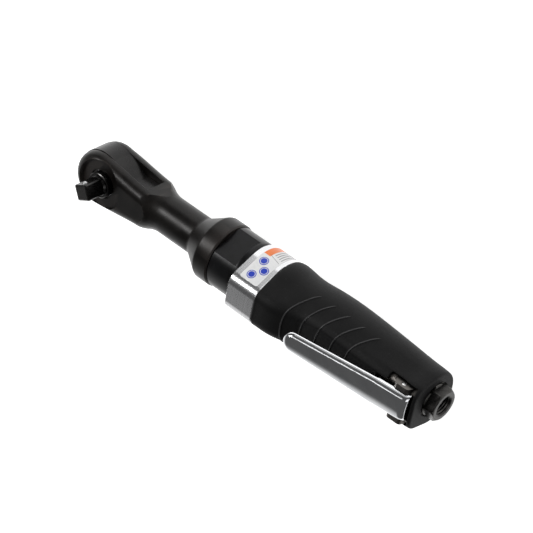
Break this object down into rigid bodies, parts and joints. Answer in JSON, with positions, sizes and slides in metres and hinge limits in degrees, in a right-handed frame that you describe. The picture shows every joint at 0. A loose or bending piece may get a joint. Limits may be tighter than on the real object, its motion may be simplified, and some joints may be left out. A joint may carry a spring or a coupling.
{
  "type": "air ratchet",
  "caption": "Straight pneumatic ratchet wrench with a square drive, forked head, rubber grip, rear-hinged throttle lever and hex air inlet.",
  "frame": {"origin": "where the drive square's axis crosses the tool's long axis, in the middle of the ratchet head", "axes": "+X along the tool from the head to the air inlet, +Z along the drive square's axis out of the head, on the throttle lever's side; +Y completes the right-handed frame"},
  "size_m": [0.2643, 0.0402, 0.0498],
  "materials": {
    "black_steel": "black oxide, satin",
    "nut_steel": "black, satin",
    "bright_metal": "turned and polished",
    "grip_rubber": "matte",
    "label_film": "printed film",
    "lever_chrome": "polished",
    "inlet_steel": "dark phosphate",
    "drive_steel": "ground",
    "dark_steel": "hardened",
    "steel": "machined",
    "spring_steel": "oil tempered",
    "cast_metal": "machined",
    "bronze": "sintered",
    "seal_rubber": "matte",
    "vane_plastic": "phenolic laminate"
  },
  "bodies": {
    "tool_body": {"ratchet_housing": "black_steel", "spindle_thrust_washer": "steel", "spindle_wave_washer": "spring_steel", "spindle_retaining_ring": "spring_steel", "crank_bearing": "steel", "ring_gear": "steel", "gear_thrust_washer": "steel", "coupling_nut": "nut_steel", "nut_retaining_ring": "spring_steel", "motor_adapter": "steel", "front_end_plate": "cast_metal", "front_bearing": "steel", "cylinder_pin": "steel", "cylinder_liner": "steel", "rear_end_plate": "cast_metal", "rear_bearing": "steel", "motor_clamp_washer": "steel", "motor_housing": "bright_metal", "exhaust_silencer": "bronze", "exhaust_screen": "steel", "grip_boot": "grip_rubber", "info_label": "label_film", "lever_pin": "steel", "throttle_pin_bushing": "bronze", "throttle_pin_seal": "seal_rubber", "valve_seat": "seal_rubber", "valve_spring": "spring_steel", "air_inlet_bushing": "inlet_steel", "inlet_seal": "seal_rubber", "inlet_screen": "steel"},
    "yoke": {"ratchet_yoke": "dark_steel"},
    "spindle": {"drive_spindle": "drive_steel", "pawl_pin": "steel", "detent_spring": "spring_steel"},
    "pawl": {"drive_pawl": "steel"},
    "knob": {"reverse_knob": "black_steel", "pawl_plunger": "steel", "plunger_spring": "spring_steel"},
    "detent_ball": {"socket_detent_ball": "steel"},
    "rotor": {"rotor": "steel", "rotor_vane_1": "vane_plastic", "rotor_vane_2": "vane_plastic", "rotor_vane_3": "vane_plastic", "rotor_vane_4": "vane_plastic", "rotor_vane_5": "vane_plastic"},
    "crank": {"crank_spindle": "steel", "planet_pins": "steel"},
    "bushing": {"drive_bushing": "steel"},
    "planet_1": {"planet_gear_1": "steel"},
    "planet_2": {"planet_gear_2": "steel"},
    "planet_3": {"planet_gear_3": "steel"},
    "lever": {"throttle_lever": "lever_chrome"},
    "throttle_pin": {"throttle_pin": "steel"},
    "tilt_valve": {"tilt_valve": "steel"}
  },
  "joints": [
    {"name": "yoke_swing", "type": "hinge", "parent": "tool_body", "child": "yoke", "pos_m": [0, 0, 0], "axis": [0, 0, 1], "range_deg": [-3, 3]},
    {"name": "drive_spin", "type": "hinge", "parent": "tool_body", "child": "spindle", "pos_m": [0, 0, 0], "axis": [0, 0, 1], "continuous": true},
    {"name": "knob_turn", "type": "hinge", "parent": "spindle", "child": "knob", "pos_m": [0, 0, 0], "axis": [0, 0, 1], "range_deg": [0, 50]},
    {"name": "pawl_rock", "type": "hinge", "parent": "spindle", "child": "pawl", "pos_m": [-0.00267, 0.00492, 0], "axis": [0, 0, 1], "range_deg": [-6, 0]},
    {"name": "ball_press", "type": "slide", "parent": "spindle", "child": "detent_ball", "axis": [0.4772, -0.8788, 0], "range_m": [0, 0.0008]},
    {"name": "rotor_spin", "type": "hinge", "parent": "tool_body", "child": "rotor", "pos_m": [0.146, 0, 0], "axis": [1, 0, 0], "continuous": true},
    {"name": "crank_spin", "type": "hinge", "parent": "tool_body", "child": "crank", "pos_m": [0.056, 0, 0], "axis": [1, 0, 0], "continuous": true},
    {"name": "bushing_spin", "type": "hinge", "parent": "crank", "child": "bushing", "pos_m": [0.0258, 0, 0.0014], "axis": [1, 0, 0], "continuous": true},
    {"name": "planet_1_spin", "type": "hinge", "parent": "crank", "child": "planet_1", "pos_m": [0.0895, 0.00675, 0], "axis": [1, 0, 0], "continuous": true},
    {"name": "planet_2_spin", "type": "hinge", "parent": "crank", "child": "planet_2", "pos_m": [0.0895, -0.00337, 0.00585], "axis": [1, 0, 0], "continuous": true},
    {"name": "planet_3_spin", "type": "hinge", "parent": "crank", "child": "planet_3", "pos_m": [0.0895, -0.00338, -0.00585], "axis": [1, 0, 0], "continuous": true},
    {"name": "lever_press", "type": "hinge", "parent": "tool_body", "child": "lever", "pos_m": [0.226, 0, 0.016], "axis": [0, -1, 0], "range_deg": [0, 5.5]},
    {"name": "pin_push", "type": "slide", "parent": "tool_body", "child": "throttle_pin", "axis": [0, 0, -1], "range_m": [0, 0.00193]},
    {"name": "valve_tilt", "type": "hinge", "parent": "tool_body", "child": "tilt_valve", "pos_m": [0.22006, 0, 0.0062], "axis": [0, -1, 0], "range_deg": [0, 8.01], "deforming": ["valve_spring"]}
  ],
  "couplings": [
    {"joint": "crank_spin", "follows": "rotor_spin", "ratio": 0.22222},
    {"joint": "bushing_spin", "follows": "rotor_spin", "ratio": -0.22222},
    {"joint": "planet_1_spin", "follows": "rotor_spin", "ratio": -0.62222},
    {"joint": "planet_2_spin", "follows": "rotor_spin", "ratio": -0.62222},
    {"joint": "planet_3_spin", "follows": "rotor_spin", "ratio": -0.62222},
    {"joint": "pawl_rock", "follows": "knob_turn", "ratio": -0.12},
    {"joint": "pin_push", "follows": "lever_press", "m_per_rad": 0.02},
    {"joint": "valve_tilt", "follows": "lever_press", "ratio": 1.4545}
  ]
}
